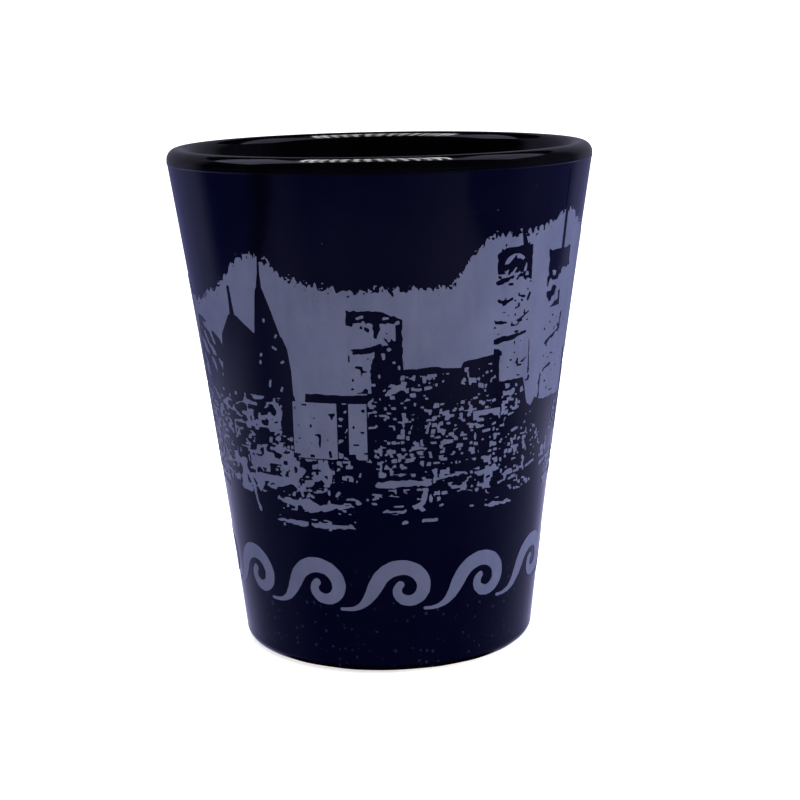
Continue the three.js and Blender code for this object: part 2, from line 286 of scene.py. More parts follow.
def make_well_glaze():
    """The coat in the recess of the foot, which climbs its side a little."""
    low = WELL_DEPTH - WELL_GLAZE
    rim = arc((WELL_GLAZE_RADIUS - 0.4, WELL_DEPTH), WELL_GLAZE, -70, 0, 6)
    lower = [(0, low), *((r, low + 0.02 * (r / 11) ** 2) for r in np.linspace(1.5, 10.9, 9)), *rim]
    profile = [*lower, (WELL_GLAZE_RADIUS - 0.2, WELL_DEPTH), (0, WELL_DEPTH)]
    return lathe("well_coat", profile, sharp_angle=50)


# ---- The print. It is designed on a flat sheet, s millimetres from the front's middle and z high ----

SHEET_RADIUS = 21.5
AROUND = 2 * math.pi * SHEET_RADIUS
FLAT_REACH = 28.0  # the sheet keeps its upright lines this far each side of the front
FAN_REACH = 46.0  # and from here on they fan out with the cup
SEAM = 176.0  # the sheet's ends meet at this angle
FILM_TOP = 0.045  # how far the print stands off the glaze
FILM_SINK = 0.012  # and how far it is sunk into it
ART_LOW = 5.0  # the height at which the random patterns start
TALLER_THAN_CUP = 99  # a cell of this height makes a pattern the same all the way up


def wall_angle(s, z):
    """The angle on the cup, in radians, of a point of the sheet."""
    share = np.clip((np.abs(s) - FLAT_REACH) / (FAN_REACH - FLAT_REACH), 0, 1)
    share = share * share * (3 - 2 * share)
    return s / (outer_radius(z) * (1 - share) + SHEET_RADIUS * share)


def noise(s, z, cell_s, cell_z, seed):
    """Smooth random values, mostly between -1 and 1, on a lattice of that cell size. A seed is a pattern."""
    columns = round(AROUND / cell_s)
    rows = round(HEIGHT / cell_z) + 3
    lattice = np.random.default_rng(seed).uniform(-1, 1, (columns, rows))
    x = (s / AROUND) % 1.0 * columns
    y = np.clip((z - ART_LOW) / cell_z + 1, 0, rows - 2.001)
    i, j = np.floor(x).astype(int), np.floor(y).astype(int)
    u, v = x - i, y - j
    u, v = u * u * (3 - 2 * u), v * v * (3 - 2 * v)
    i, n = i % columns, (i + 1) % columns
    low = lattice[i, j] * (1 - u) + lattice[n, j] * u
    high = lattice[i, j + 1] * (1 - u) + lattice[n, j + 1] * u
    return 1.5 * (low * (1 - v) + high * v)


def ripple(s, cell, seed):
    """Smooth random values along the sheet, the same at every height."""
    return noise(s, 0 * s, cell, TALLER_THAN_CUP, seed)


def wrapped(s):
    """The same place, given within half a turn of the front."""
    return (s + AROUND / 2) % AROUND - AROUND / 2


# A field is above zero where there is print, and its size is roughly the distance to the edge.


def box(s, z, left, right, low, high):
    return np.minimum(np.minimum(s - left, right - s), np.minimum(z - low, high - z))


def polygon(s, z, *corners):
    """A convex outline, its corners clockwise."""
    field = np.full(np.shape(s), np.inf)
    for (s0, z0), (s1, z1) in zip(corners, corners[1:] + corners[:1]):
        length = math.hypot(s1 - s0, z1 - z0)
        field = np.minimum(field, ((s - s0) * (z1 - z0) - (z - z0) * (s1 - s0)) / length)
    return field


def stroke(s, z, points, widths):
    """A line through points, as wide at each as widths says."""
    field = np.full(np.shape(s), -np.inf)
    if np.isscalar(widths):
        widths = [widths] * len(points)
    for (s0, z0), (s1, z1), w0, w1 in zip(points, points[1:], widths, widths[1:]):
        ds, dz = s1 - s0, z1 - z0
        t = np.clip(((s - s0) * ds + (z - z0) * dz) / (ds * ds + dz * dz), 0, 1)
        away = np.hypot(s - s0 - t * ds, z - z0 - t * dz)
        field = np.maximum(field, (w0 + (w1 - w0) * t) / 2 - away)
    return field


def strokes(s, z, lines):
    return join(*(stroke(s, z, points, widths) for points, widths in lines))


def join(*fields):
    return np.maximum.reduce(fields)


def cut(field, *holes):
    return np.minimum(field, -np.maximum.reduce(holes))


def both(*fields):
    return np.minimum.reduce(fields)


def windows(s, z, pitch_s, pitch_z, share, seed, size=0.8):
    """A grid of small oblongs of random sizes, some of them left out."""
    columns = round(AROUND / pitch_s)
    rows = round(HEIGHT / pitch_z) + 2
    rng = np.random.default_rng(seed)
    lit = rng.random((columns, rows)) < share
    wide = rng.uniform(0.45, 1, (columns, rows)) * size * pitch_s / 2
    tall = rng.uniform(0.4, 1, (columns, rows)) * size * pitch_z / 2
    drift = rng.uniform(-0.2, 0.2, (2, columns, rows))
    x = (s / AROUND) % 1.0 * columns
    y = z / pitch_z
    i = np.clip(np.floor(x).astype(int), 0, columns - 1)
    j = np.clip(np.floor(y).astype(int), 0, rows - 1)
    ds = np.abs(x - i - 0.5 - drift[0][i, j]) * pitch_s
    dz = np.abs(y - j - 0.5 - drift[1][i, j]) * pitch_z
    return np.where(lit[i, j], np.minimum(wide[i, j] - ds, tall[i, j] - dz), -0.2)


def shaken(s, z, amount, cell, seed):
    """The same place moved a little at random, which roughens whatever is drawn there."""
    return s + amount * noise(s, z, cell, cell, seed), z + amount * noise(s, z, cell, cell, seed + 1)


# ---- From a field to a thin solid on the cup ----

BEND_S = 0.5  # the film bends round the cup every so many millimetres
BEND_Z = 2.5
SIMPLIFY = 0.012  # how far a dropped point may lie off the edge that replaces it
LONGEST_RUN = 60  # the most points of an outline that one straight edge may replace
SAME_POINT = 1e-7
GRID_STEP = 0.1
FINE_STEP = 0.06
OFF_PRINT = -0.1  # the field all round the grid, which closes every outline
NEAR_ZERO = 1e-4  # no value is nearer to zero than this, so that no crossing falls on a grid point


def crossings(values):
    """Where the edges of the area above zero cross the grid's lines.

    Gives the places, in grid steps, and which pairs of them are joined within a cell.
    """
    inside = values > 0
    level = inside[:-1] != inside[1:]
    upright = inside[:, :-1] != inside[:, 1:]
    level_id = np.full(level.shape, -1)
    level_id[level] = np.arange(level.sum())
    upright_id = np.full(upright.shape, -1)
    upright_id[upright] = np.arange(upright.sum()) + level.sum()
    i, j = np.nonzero(level)
    first = np.stack([i + values[i, j] / (values[i, j] - values[i + 1, j]), j], 1)
    i, j = np.nonzero(upright)
    second = np.stack([i, j + values[i, j] / (values[i, j] - values[i, j + 1])], 1)
    cells = np.stack([level_id[:, :-1], upright_id[1:], level_id[:, 1:], upright_id[:-1]], -1)
    count = (cells >= 0).sum(-1)
    simple = cells[count == 2]
    saddle = cells[count == 4]
    pairs = np.concatenate([simple[simple >= 0].reshape(-1, 2), saddle[:, :2], saddle[:, 2:]])
    return np.concatenate([first, second]), pairs


def chains(points, pairs):
    """The closed outlines, each as a list of points."""
    partners = [[] for _ in points]
    for a, b in pairs.tolist():
        partners[a].append(b)
        partners[b].append(a)
    seen = np.zeros(len(points), bool)
    outlines = []
    for start in range(len(points)):
        if seen[start]:
            continue
        chain = []
        here, came = start, -1
        while not seen[here]:
            seen[here] = True
            chain.append(points[here])
            a, b = partners[here]
            here, came = (b if a == came else a), here
        outlines.append(chain)
    return outlines


def simplified(outline, tolerance):
    """Drops the points of a closed outline that lie on a line between those kept."""
    points = np.array(outline + outline[:1])
    kept = [0]
    for i in range(2, len(points)):
        a, b = points[kept[-1]], points[i]
        along = b - a
        between = points[kept[-1] + 1 : i] - a
        length = math.hypot(*along)
        if length < 1e-9:
            continue
        off = np.abs(between[:, 0] * along[1] - between[:, 1] * along[0]) / length
        if off.max() > tolerance or i - kept[-1] > LONGEST_RUN:
            kept.append(i - 1)
    return points[kept]


def triangulate(outlines, left, right, low, high):
    """Triangles inside the outlines and outside their holes, cut along the lines where the film bends."""
    points, edges, faces = [], [], []
    for outline in outlines:
        first = len(points)
        points.extend(Vector(p) for p in outline.tolist())
        faces.append(list(range(first, len(points))))
    for s in np.arange(math.ceil(left / BEND_S), right / BEND_S) * BEND_S:
        edges.append((len(points), len(points) + 1))
        points += [Vector((s, low)), Vector((s, high))]
    for z in np.arange(math.ceil(low / BEND_Z), high / BEND_Z) * BEND_Z:
        edges.append((len(points), len(points) + 1))
        points += [Vector((left, z)), Vector((right, z))]
    flat, _, triangles, _, _, owners = delaunay_2d_cdt(points, edges, faces, 0, SAME_POINT)
    kept = [t for t, owner in zip(triangles, owners) if len(owner) % 2 == 1]
    return np.array([tuple(p) for p in flat]), np.array(kept)


def flat_film(field, left, right, low, high, step):
    """The places on the sheet where field(s, z) is above zero, as points and anticlockwise triangles."""
    columns = int((right - left) / step) + 3
    rows = int((high - low) / step) + 3
    across = left + (np.arange(columns) - 1) * step
    upward = low + (np.arange(rows) - 1) * step
    values = np.clip(field(*np.meshgrid(across, upward, indexing="ij")), -1, 1)
    values = np.where(np.abs(values) < NEAR_ZERO, -NEAR_ZERO, values)
    values[[0, -1], :] = OFF_PRINT
    values[:, [0, -1]] = OFF_PRINT
    outlines = [simplified(chain, SIMPLIFY / step) for chain in chains(*crossings(values))]
    origin = np.array([left - step, low - step])
    outlines = [outline * step + origin for outline in outlines if len(outline) > 3]
    flat, triangles = triangulate(outlines, left - step, right + step, low - step, high + step)
    used, triangles = np.unique(triangles, return_inverse=True)
    flat, triangles = flat[used], triangles.reshape(-1, 3)
    a, b, c = (flat[triangles[:, k]] for k in range(3))
    turned = (b[:, 0] - a[:, 0]) * (c[:, 1] - a[:, 1]) < (b[:, 1] - a[:, 1]) * (c[:, 0] - a[:, 0])
    triangles[turned] = triangles[turned][:, ::-1]
    return flat, triangles


def film(name, field, left, right, low, high, step=GRID_STEP, angle_of=wall_angle):
    """A closed solid, as thin as print, wherever field(s, z) is above zero within the limits."""
    flat, triangles = flat_film(field, left, right, low, high, step)
    sides = np.concatenate([triangles[:, [0, 1]], triangles[:, [1, 2]], triangles[:, [2, 0]]])
    known = {(x, y) for x, y in sides.tolist()}
    rim = [(x, y) for x, y in known if (y, x) not in known]
    count = len(flat)
    angle = angle_of(flat[:, 0], flat[:, 1])
    vertices = []
    for offset in (FILM_TOP, -FILM_SINK):
        radius = outer_radius(flat[:, 1]) + offset
        radius = radius + cast_wobble(angle, 0.0) * radius / WALL_TOP_RADIUS
        vertices.append(np.stack([radius * np.sin(angle), -radius * np.cos(angle), flat[:, 1]], 1))
    faces = triangles.tolist()
    faces += (triangles[:, ::-1] + count).tolist()
    faces += [(y, x, x + count, y + count) for x, y in sorted(rim)]
    return new_object(name, np.concatenate(vertices), faces, sharp_angle=45)


# ---- The sky and its towers ----

SKY_LOW = 30  # the sky and its towers reach no lower

# The sky's upper edge: places on the sheet and heights
SKY_TOP = [
    (-67.5, 46.4), (-62, 48.4), (-57, 51.2), (-51, 49.8), (-45, 46.2), (-39, 45), (-34, 45.4), (-30, 43.4),
    (-26.9, 43), (-21.6, 44.9), (-19, 47.5), (-17.2, 49.2), (-15.4, 49.5), (-13.8, 49), (-12.2, 47.6),
    (-10.3, 46.6), (-8, 46.1), (-4, 45.6), (2, 45.7), (5.3, 45.5), (7, 45.7), (8.1, 46.1), (9, 47.2),
    (9.9, 48.7), (11.2, 50.4), (13.1, 51), (18.3, 51), (20.9, 51.4), (24, 52.5), (25.7, 53),
    (27.4, 52.6), (30, 51.2), (34, 49.2), (40, 46.4), (46, 47.8), (52, 51.6), (57, 50.4), (62, 47.2),
    (67.5, 46.4),
]
# Its lower edge, along the roofs of the low city
SKY_FLOOR = [
    (-67.5, 33.4), (-10.4, 33.4), (-10.35, 32.75), (-9.1, 32.75), (-9.05, 33.85), (-1.9, 33.8), (1.9, 36.6),
    (5, 36.8), (8.7, 36.5), (9, 37.1), (12.95, 37.5), (13, 34.2), (17.6, 34.2), (18.4, 31), (19.2, 30.5),
    (20, 31.4), (21.4, 30.9), (28.6, 30.6), (30.5, 33.2), (67.5, 33.4),
]

# Towers round the sides and the back: place, width, roof height, kind, and the top of a mast
BACK_TOWERS = [
    (30.4, 4.4, 36, "flat", 0),
    (34.6, 6, 41, "stepped", 0),
    (40.2, 3.8, 36.5, "gable", 0),
    (45.4, 4.8, 44, "stepped", 47.2),
    (51.8, 6, 37, "flat", 0),
    (57, 4.2, 41, "slant", 0),
    (62.6, 5, 38.4, "stepped", 0),
    (-65, 4, 38.5, "spire", 45.4),
    (-60.2, 6, 37.5, "slant", 0),
    (-54.8, 4.6, 43, "flat", 47.5),
    (-49.2, 5.6, 37.6, "gable", 42.5),
    (-43.5, 4, 43.2, "stepped", 0),
    (-38.3, 5.8, 37.2, "flat", 0),
    (-33.4, 3.8, 38.4, "gable", 0),
]


def sheet_line(s, points):
    """The height of a line through points, its corners eased."""
    at, heights = zip(*points)
    return sum(np.interp(s + shift, at, heights, period=AROUND) for shift in np.linspace(-0.7, 0.7, 5)) / 5


def tower(s, z, middle, width, roof, kind, mast_top):
    """A dark tower against the sky."""
    x = s - middle
    half = width / 2
    tip = roof + half * 2.4
    roofs = {
        "gable": [(-half, roof), (0, roof + half), (half, roof)],
        "slant": [(-half, roof), (-half, roof + 1.2), (half, roof)],
        "spire": [(-half * 0.6, roof), (-0.1, tip), (0.1, tip), (half * 0.6, roof)],
    }
    blocks = [(half, roof)]
    if kind == "stepped":
        blocks = [(half, roof - half), (half * 0.66, roof), (half * 0.3, roof + 0.7)]
    body = join(*(box(x, z, -reach, reach, SKY_LOW, top) for reach, top in blocks))
    if kind in roofs:
        body = join(body, polygon(x, z, *roofs[kind]))
    if mast_top:
        body = join(body, stroke(x, z, [(0, roof), (0, mast_top)], [0.6, 0.22]))
    return body


def gabled_tower(s, z):
    """A broad dark tower at the left, with a peaked roof and a mast."""
    outline = [(-22.6, SKY_LOW), (-21.5, 39.6), (-19.8, 42.1), (-18.4, 42.1), (-15.3, 40.1), (-15, SKY_LOW)]
    body = polygon(s, z, *outline)
    mast = stroke(s, z, [(-19.5, 45.3), (-19.3, 43.7), (-19.1, 42)], [0.5, 0.6, 0.9])
    return join(body, mast)


# The lit windows of the spired tower: where each starts, and how far it runs sideways and up
SPIRE_LIGHTS = [
    (-14.1, 41.8, 0, 0.2), (-14.8, 37.8, 0.1, 0.15), (-14.9, 36.9, 0, 0.2), (-11.9, 37.2, 0.2, 0.1),
    (-13.7, 34.3, 0.1, 0.6), (-12.1, 33.9, 0.1, 0.3), (-13, 38.9, 0.4, -0.2), (-12.6, 40.1, 0.1, 0.2),
]


def spired_tower(s, z):
    """A dark tower whose crown narrows to a needle."""
    shoulders = [(-15.25, 44.5), (-15.1, 45.4), (-14.6, 46), (-13.95, 45.4), (-13.4, 44)]
    crown = polygon(s, z, (-15.6, 40), *shoulders, (-11.6, 40))
    side = [(-11.7, 40.1), (-11.1, 38.8), (-10.7, 36.4), (-10.4, SKY_LOW)]
    body = polygon(s, z, (-16, SKY_LOW), (-15.6, 40.1), *side)
    tip = stroke(s, z, [(-14.45, 49), (-14.5, 47.2), (-14.55, 45.6)], [0.26, 0.36, 0.8])
    lit = join(*(stroke(s, z, [(x, y), (x + lean, y + tall)], 0.3) for x, y, lean, tall in SPIRE_LIGHTS))
    return cut(join(crown, body, tip), 0.9 * lit)


def block_tower(s, z):
    """The block in the middle: a heavy cornice, a shaded right side and a mottled front."""
    x, y = shaken(s, z, 0.07, 0.4, 41)
    cornice = join(
        polygon(x, y, (-4.1, 42.1), (-4.1, 43.4), (-0.6, 43.4), (0.4, 42.5), (0.4, 41.9)),
        polygon(x, y, (-0.6, 42.3), (-0.6, 43.4), (2.05, 42.4), (2.05, 41.6)),
        box(x, y, -4.1, -3.3, 41.7, 43.2),
    )
    right = box(x, y, 1.3, 2.05, 39.9, 42)
    lines = [
        ([(-1, 42.4), (-0.7, 41.2), (-0.9, 40.4)], [0.9, 0.7, 0.4]),
        ([(-2.3, 41.6), (-1.7, 41.2)], 0.4),
        ([(-3.2, 38.7), (-1.2, 39), (-0.5, 39.4)], [0.5, 0.6, 0.7]),
        ([(0.2, 40.6), (0.9, 39.6)], 0.7),
    ]
    marks = join(strokes(x, y, lines), box(x, y, -3.9, -3.7, 37.6, 38.4))
    shade = join(
        polygon(x, y, (-1.4, 33), (-1.5, 36.6), (-0.8, 39.2), (0.5, 39.6), (1.4, 38.6), (1.4, 33)),
        box(x, y, 0.8, 2.05, 33, 39.9),
    )
    lines = [([(0.3, 41.6), (0.9, 41), (1.2, 40.6)], [0.3, 0.5, 0.3]), ([(-2.9, 42.6), (-2.3, 42.7)], 0.35)]
    lit = join(0.3 * (noise(s, z, 0.55, 0.5, 43) - 0.85), strokes(x, y, lines))
    return cut(join(cornice, right, marks, shade), both(lit, box(s, z, -3, 1.8, 33.5, 42.9)))


def near_slab(s, z):
    """The nearer of two tall slabs: a dark crown over a pale front with a few dark belts."""
    x, y = shaken(s, z, 0.07, 0.45, 51)
    crown = polygon(x, y, (13.4, 46), (13.35, 48.9), (14.8, 49.6), (18.65, 49.7), (18.6, 45.7))
    swirl = noise(0.7 * (s - z), 0.7 * (s + z), 0.34, 0.85, 53)
    rose = both(1.5 - np.hypot((s - 16) / 1.15, z - 47.3), 0.3 * (swirl + 0.12))
    chips = both(box(s, z, 13, 18, 45.4, 46.6), 0.35 * (noise(s, z, 0.8, 0.35, 57) - 0.1))
    crown = cut(crown, rose, chips)
    lines = [
        ([(13.4, 45.7), (14.2, 45.8), (15.4, 46.1)], [0.5, 0.55, 0.3]),
        ([(18.4, 44.1), (18, 43.4)], 0.4),
        ([(13.5, 43.7), (14.2, 43.3), (15.6, 43.6)], [0.4, 0.55, 0.3]),
        ([(16.6, 43.9), (17.4, 43.8)], 0.3),
        ([(13.2, 41.2), (14.8, 41)], [0.45, 0.2]),
        ([(16.2, 41.1), (17.2, 41.4), (18.2, 41.9)], [0.15, 0.26, 0.2]),
        ([(13.1, 39), (15.2, 39.2), (17.7, 39.6)], [0.7, 0.6, 0.36]),
        ([(17.2, 36.2), (18, 36.6)], [0.3, 0.15]),
        ([(18.5, 38.6), (18.5, 34.6)], [0.12, 0.26]),
    ]
    specks = 0.3 * (noise(s, z, 0.5, 0.4, 55) - 1.0)
    belts = join(strokes(x, y, lines), box(x, y, 12.9, 13.75, 33, 38.1), specks)
    front = both(belts, box(s, z, 12.9, 18.8, 33, 50))
    mast = stroke(s, z, [(17.05, 51.3), (17.3, 50.3), (17.5, 49.5)], [0.45, 0.65, 0.9])
    return join(crown, front, mast)


def far_slab(s, z):
    """The farther slab, with a long mast that runs up past the sky's edge."""
    x, y = shaken(s, z, 0.12, 0.5, 61)
    crown = box(x, y, 21.8, 27.4, 46.1, 48.6)
    mottle = both(box(s, z, 21.6, 25, 41.8, 46.2), 0.35 * (noise(s, z, 0.8, 0.6, 63) - 0.05))
    lines = [
        ([(25.9, 40.8), (25.6, 39), (24, 38.4), (21.8, 37.7)], [0.3, 0.4, 0.3, 0.35]),
        ([(21.6, 34.3), (23.4, 34.9)], [0.35, 0.2]),
        ([(20.95, 34), (20.8, 30)], 0.32),
    ]
    specks = both(box(s, z, 21.4, 27.6, 30.6, 41), 0.3 * (noise(s, z, 0.6, 0.35, 65) - 1.1))
    mast = stroke(s, z, [(24.95, 48), (26.0, 58)], [0.8, 0.64])
    return join(crown, mottle, mast, strokes(x, y, lines), specks)


def left_mass(s, z):
    """Low buildings at the left, streaked with light."""
    body = polygon(s, z, (-29, SKY_LOW), (-28.6, 41.2), (-26.6, 41), (-21.6, 38.6), (-21.4, SKY_LOW))
    slanted = s + 0.8 * z
    lit = both(0.3 * (noise(slanted, z, 0.7, 1.4, 71) - 0.3), box(s, z, -28, -21.6, SKY_LOW, 40.4))
    return cut(body, lit)


def back_towers(s, z):
    """The towers round the sides and the back, with lit windows in them."""
    towers = join(*(tower(s, z, *place) for place in BACK_TOWERS))
    x, y = shaken(s, z, 0.1, 0.4, 81)
    lit = join(windows(x, y, 0.85, 0.75, 0.3, 83), 0.3 * (noise(s, z, 0.9, 0.6, 85) - 0.9))
    return cut(towers, both(lit, towers - 0.35))


def sky_field(s, z):
    """The printed sky, bristly along its top, with the towers and the lit fronts left out of it."""
    depth = sheet_line(s, SKY_TOP) - z
    bristle = depth + 0.28 * ripple(s, 0.5, 1) + 0.22 * noise(s, z, 0.24, 0.5, 2)
    spray = 0.3 * (noise(s, z, 0.3, 0.28, 3) - 0.75 + 0.75 * np.minimum(depth, 0))
    bites = 0.3 * (noise(s, z, 0.28, 0.36, 4) - 0.7 - 0.8 * np.maximum(depth, 0))
    at, heights = zip(*SKY_FLOOR)
    low = z - np.interp(s, at, heights) + 0.06 * noise(s, z, 0.6, 0.6, 5)
    seam = math.radians(SEAM) * SHEET_RADIUS
    sheet = both(cut(join(bristle, spray), bites), low, np.abs(s - seam) - 0.25)
    dark = [gabled_tower, spired_tower, block_tower, near_slab, far_slab, left_mass, back_towers]
    return cut(sheet, *(shape(s, z) for shape in dark), *(margin(s, z, *limits) for limits in FRONT_LIMITS))


# ---- The low city, its lit fronts, the water and the frieze ----

SEARCH_STEPS = 4001  # how finely the sheet is searched for a node's place
FRONT_GAP = 0.008  # what the sky leaves free round each lit front
LIGHTS_GAP = 0.12  # and what the city's lights leave free round the fronts and streaks


def sheet_limits(node):
    """A CAD node's limits on the flat sheet: left, right, low and high."""
    places = np.array([v.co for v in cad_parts[node].data.vertices]) / MM
    angle = np.arctan2(places[:, 0], -places[:, 1])
    angle = angle[0] + (angle - angle[0] + math.pi) % (2 * math.pi) - math.pi
    centre = (angle.min() + angle.max()) / 2
    centre = (centre + math.pi) % (2 * math.pi) - math.pi
    half = (angle.max() - angle.min()) / 2
    low, high = places[:, 2].min(), places[:, 2].max()
    radius = outer_radius((low + high) / 2)
    spread = np.linspace(-AROUND / 2, AROUND / 2, SEARCH_STEPS)
    at = np.interp(centre, wall_angle(spread, (low + high) / 2), spread)
    return at - half * radius, at + half * radius, low, high


def margin(s, z, left, right, low, high, room=FRONT_GAP):
    return box(s, z, left - room, right + room, low - room, high + room)


FRONTS = sorted(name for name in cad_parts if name.endswith("_front"))
STREAKS = sorted(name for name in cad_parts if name.startswith("water_streak"))
CRESTS = sorted(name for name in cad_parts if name.startswith("wave_crest"))
FRONT_LIMITS = [sheet_limits(name) for name in FRONTS]
STREAK_LIMITS = [sheet_limits(name) for name in STREAKS]

# The heights that the low city's lights reach
CITY_TOP = [
    (-67.5, 33), (-9.5, 33), (-9, 32.8), (-2, 32.9), (1.9, 36), (8.7, 36), (9, 36.4), (12.7, 36.6),
    (13.6, 34), (17.4, 33.6), (18.4, 30.8), (21.5, 30.4), (28.6, 30.2), (30.5, 33), (67.5, 33),
]
# Quays, and glints on the water: the points of each and its width
GLINTS = [
    ([(4.1, 18.7), (5.6, 18.6)], 0.5), ([(1.8, 18.7), (2.1, 18.7)], 0.4),
    ([(5.7, 20.7), (5.95, 20.7)], 0.3), ([(5.3, 23.7), (8.4, 24.1)], 0.24), ([(9.6, 20.1), (9.9, 20)], 0.3),
    ([(7.2, 22.5), (8.9, 22.5)], 0.3), ([(10.6, 22.6), (12, 22.5)], 0.42),
    ([(10.3, 24), (12.3, 24.2)], 0.32), ([(-5.4, 21.9), (-5.1, 22.3)], 0.4),
    ([(-6.9, 23.9), (-6.3, 23.2)], 0.5), ([(-1.6, 20.9), (-1.3, 20.8)], 0.3),
    ([(19, 22.8), (20.8, 23.2)], 0.36), ([(22.4, 22.4), (24.6, 23)], 0.35),
    ([(-27, 21), (-24.6, 20.4)], 0.5), ([(-26.4, 22.8), (-24, 22.2)], 0.4),
    ([(-13.4, 23.4), (-11.2, 22.9), (-9.9, 22), (-9.8, 21.2)], 0.36),
    ([(-4.4, 20.6), (-4.2, 21.3), (-3.6, 21.5), (-3, 21)], 0.5),
    ([(-9.2, 21.1), (-8.8, 21.7), (-8.2, 21.2)], 0.4), ([(-17.4, 22), (-17, 20.8), (-16.6, 19)], 0.42),
    ([(-20.4, 24.6), (-18.4, 23.2), (-17.2, 21.6)], 0.6), ([(2.8, 20.7), (3.7, 21.2), (4.5, 22.6)], 0.5),
    ([(3.1, 20.9), (3.7, 20.3)], 0.45),
]

# On the left, between these two places, the rows of windows give way to curls
CURLS_LEFT = -31
CURLS_RIGHT = -12.3

# The city's lights are four pieces, each between two places of the sheet
CITY_SIDES = [("front", -16.9, 16.8), ("right", 16.9, 50.6), ("left", -50.6, -17.0), ("back", 50.7, 84.3)]
CITY_LOW = 17.4
CITY_HIGH = 37.2
CITY_STEP = 0.09


def city_place(s, z):
    """The low city's own sheet, which is a little crumpled."""
    x, y = shaken(s, z, 0.05, 0.4, 101)
    return x + 0.3 * noise(s, z, 4, 2.6, 121), y + 0.25 * noise(s, z, 4, 2.6, 123)


def city_rows(s, z):
    """Rows of windows and crumbs of light, crowded in some places and sparse in others."""
    x, y = city_place(s, z)
    rows = join(
        windows(x, y, 0.84, 0.68, 0.38, 105),
        windows(x + 0.4, y + 0.3, 1.6, 0.76, 0.19, 109),
        windows(x, y, 0.58, 1.45, 0.1, 107, 0.84),
        windows(x, y, 2.7, 1.6, 0.07, 131, 0.55) + 0.2 * noise(s, z, 0.5, 0.4, 133),
    )
    crumbs = 0.3 * (noise(s, z, 0.55, 0.42, 103) - 0.98)
    crowd = 0.5 * noise(s, z, 1.9, 2.2, 111) + 0.43
    sparse = 0.35 * np.clip((s - 15) / 6, 0, 1) * np.clip((33 - s) / 4, 0, 1)
    sparse = sparse + 0.3 * np.clip(1.6 - np.hypot((s - 7.5) / 2.4, (z - 33.4) / 2.2), 0, 1)
    return both(join(rows, crumbs), crowd - sparse)


def city_curls(s, z):
    """Loops and crumbs of light."""
    loops = 0.15 - 0.46 * np.abs(noise(s, z, 1.15, 0.75, 125) - 0.1)
    loops = both(loops, 0.4 * (noise(s, z, 0.9, 0.8, 129) + 0.05))
    return join(loops, 0.3 * (noise(s, z, 0.7, 0.42, 127) - 0.7))


def shore_blots(s, z):
    """Two patches of larger blots near the water."""
    blot = 0.35 * (noise(s, z, 1.0, 0.7, 115) - 0.24)
    near = 0.5 - 0.12 * np.hypot((s + 12.5) / 1.6, (z - 24.6) * 1.5)
    far = 0.45 - 0.2 * np.hypot((s + 18) * 0.8, (z - 23.6) * 0.7)
    return join(both(blot, near), both(blot, far))


def city_field(s, z):
    """The lights of the low city and its shore: small ragged patches, blots and glints."""
    left = 0.3 * np.minimum(CURLS_RIGHT - s, s - CURLS_LEFT)
    lights = join(cut(city_rows(s, z), left - 0.3), both(city_curls(s, z), left))
    fade = np.minimum((z - 21.4 + 0.5 * ripple(s, 1.8, 117)) * 0.15, 0.3)
    below_roofs = np.interp(s, *zip(*CITY_TOP)) - z
    lights = both(join(both(lights, fade), shore_blots(s, z)), below_roofs)
    taken = [margin(s, z, *limits, LIGHTS_GAP) for limits in FRONT_LIMITS + STREAK_LIMITS]
    return cut(join(lights, strokes(*city_place(s, z), GLINTS)), *taken)


def make_city(side, left, right):
    """One side's share of the low city's lights."""

    def angle(s, z):
        return wall_angle(wrapped(s), z)

    def field(s, z):
        return city_field(wrapped(s), z)

    return film(f"city_lights_{side}", field, left, right, CITY_LOW, CITY_HIGH, CITY_STEP, angle)


def make_front(node, limits):
    """A lit front: an oblong with small dark windows and a ragged foot."""
    left, right, low, high = limits
    seed = 200 + FRONTS.index(node)

    def field(s, z):
        face = box(s, z, left, right, low, high)
        specks = both(0.3 * (noise(s, z, 0.5, 0.5, seed + 40) - 1.05), face - 0.2)
        foot = 0.35 * (noise(s, z, 0.7, 0.5, seed + 80) - 0.35 - (z - low) * 0.9)
        return cut(face, specks, foot, block_tower(s, z))

    name = node.replace("print_", "") + "_film"
    return film(name, field, left - 0.5, right + 0.5, low - 0.5, high + 0.5, FINE_STEP)


THIN_STREAK = 0.7  # streaks up to this height are rows of dashes


def make_streak(node, limits):
    """A reflection: a long patch with a wandering outline, or if it's thin, a row of dashes."""
    left, right, low, high = limits
    seed = 400 + STREAKS.index(node)
    middle, deep = (low + high) / 2, high - low

    def field(s, z):
        x, y = shaken(s, z, 0.1, 0.45, seed)
        y = y + 0.2 * deep * ripple(s, 2.6, seed + 20)
        taper = np.sin(math.pi * np.clip((s - left) / (right - left), 0, 1)) ** 0.4
        swell = 0.42 + 0.16 * ripple(s, 1.3, seed + 30)
        body = deep * swell * taper - np.abs(y - middle)
        ends = np.minimum(x - left, right - x)
        around = box(s, z, left, right, low - 0.3, high + 0.5)
        spray = both(0.3 * (noise(s, z, 0.6, 0.3, seed + 40) - 0.8), around)
        patch = join(both(body, ends), spray)
        return patch if deep > THIN_STREAK else cut(patch, 0.4 * (ripple(s, 1.3, seed + 50) - 0.75))

    name = node.replace("water_", "") + "_film"
    return film(name, field, left - 0.4, right + 0.4, low - 0.9, high + 0.9, FINE_STEP)


